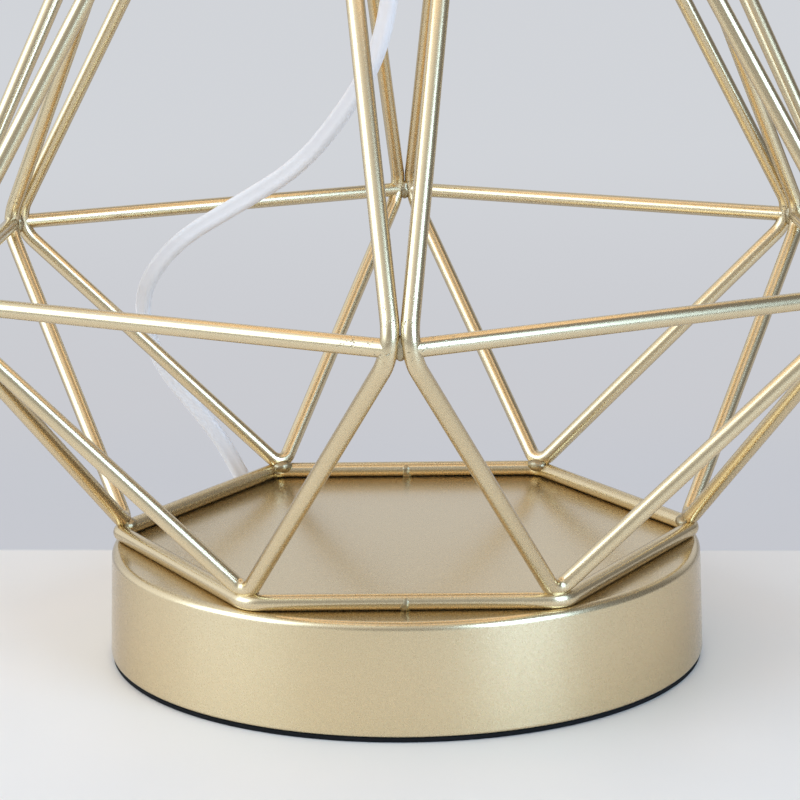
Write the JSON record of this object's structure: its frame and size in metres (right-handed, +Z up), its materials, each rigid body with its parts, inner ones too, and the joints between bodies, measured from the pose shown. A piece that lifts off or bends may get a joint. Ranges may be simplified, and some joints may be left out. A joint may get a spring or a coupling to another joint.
{
  "type": "table lamp",
  "caption": "Table lamp with a weighted round base, a cage foot of bent wire kites, flex hanging inside, push-bar lampholder, bulb and tapered fabric shade that turns.",
  "frame": {"origin": "centre of the base's underside, on the table", "axes": "+Z up, -Y the front with a flat side of the foot ring, +X to the viewer's right"},
  "size_m": [0.3, 0.3036, 0.4525],
  "materials": {
    "champagne_metal": "satin champagne gold lacquer, grainy at the welds",
    "pad_black": "matt black foam rubber",
    "ballast_iron": "raw cast",
    "zinc_steel": "zinc plated",
    "white_flex": "smooth soft white sheath",
    "white_plastic": "fine matt moulding",
    "ceramic_white": "glazed ceramic",
    "contact_brass": "pressed sheet",
    "cap_aluminium": "rolled screw thread",
    "opal_glass": "opal coated",
    "shade_fabric": "plain off-white weave on a stiff lining",
    "shade_wire": "white powder coat",
    "pin_metal": "nickel plated"
  },
  "bodies": {
    "lamp": {"ballast": "ballast_iron", "base_cover": "champagne_metal", "base_pad": "pad_black", "bulb_cap": "cap_aluminium", "bulb_glass": "opal_glass", "centre_contact": "contact_brass", "coil_tie": "white_plastic", "cord_coil": "white_flex", "cord_drop": "white_flex", "cord_grip": "white_plastic", "cord_tail": "white_flex", "foot_ring": "champagne_metal", "foot_welds": "champagne_metal", "girdle_bar_1": "champagne_metal", "girdle_bar_2": "champagne_metal", "girdle_bar_3": "champagne_metal", "girdle_bar_4": "champagne_metal", "girdle_bar_5": "champagne_metal", "girdle_bar_6": "champagne_metal", "girdle_welds": "champagne_metal", "holder_body": "white_plastic", "holder_cap": "white_plastic", "holder_insert": "ceramic_white", "kite_frame_1": "champagne_metal", "kite_frame_2": "champagne_metal", "kite_frame_3": "champagne_metal", "kite_frame_4": "champagne_metal", "kite_frame_5": "champagne_metal", "kite_frame_6": "champagne_metal", "lock_nut": "zinc_steel", "plate_washer": "zinc_steel", "plug_body": "white_plastic", "plug_pins": "pin_metal", "ring_welds": "champagne_metal", "screw_shell": "contact_brass", "shade_ring_lower": "white_plastic", "shade_ring_upper": "white_plastic", "threaded_tube": "zinc_steel", "top_plate": "champagne_metal", "top_welds": "champagne_metal"},
    "shade": {"shade_skin": "shade_fabric", "shade_top_ring": "shade_wire", "shade_frame": "shade_wire"},
    "push_bar": {"push_bar": "white_plastic"}
  },
  "joints": [
    {"name": "shade_turn", "type": "hinge", "parent": "lamp", "child": "shade", "pos_m": [0, 0, 0.3065], "axis": [0, 0, 1], "continuous": true},
    {"name": "push_bar_slide", "type": "slide", "parent": "lamp", "child": "push_bar", "axis": [1, 0, 0], "range_m": [-0.006, 0]}
  ]
}
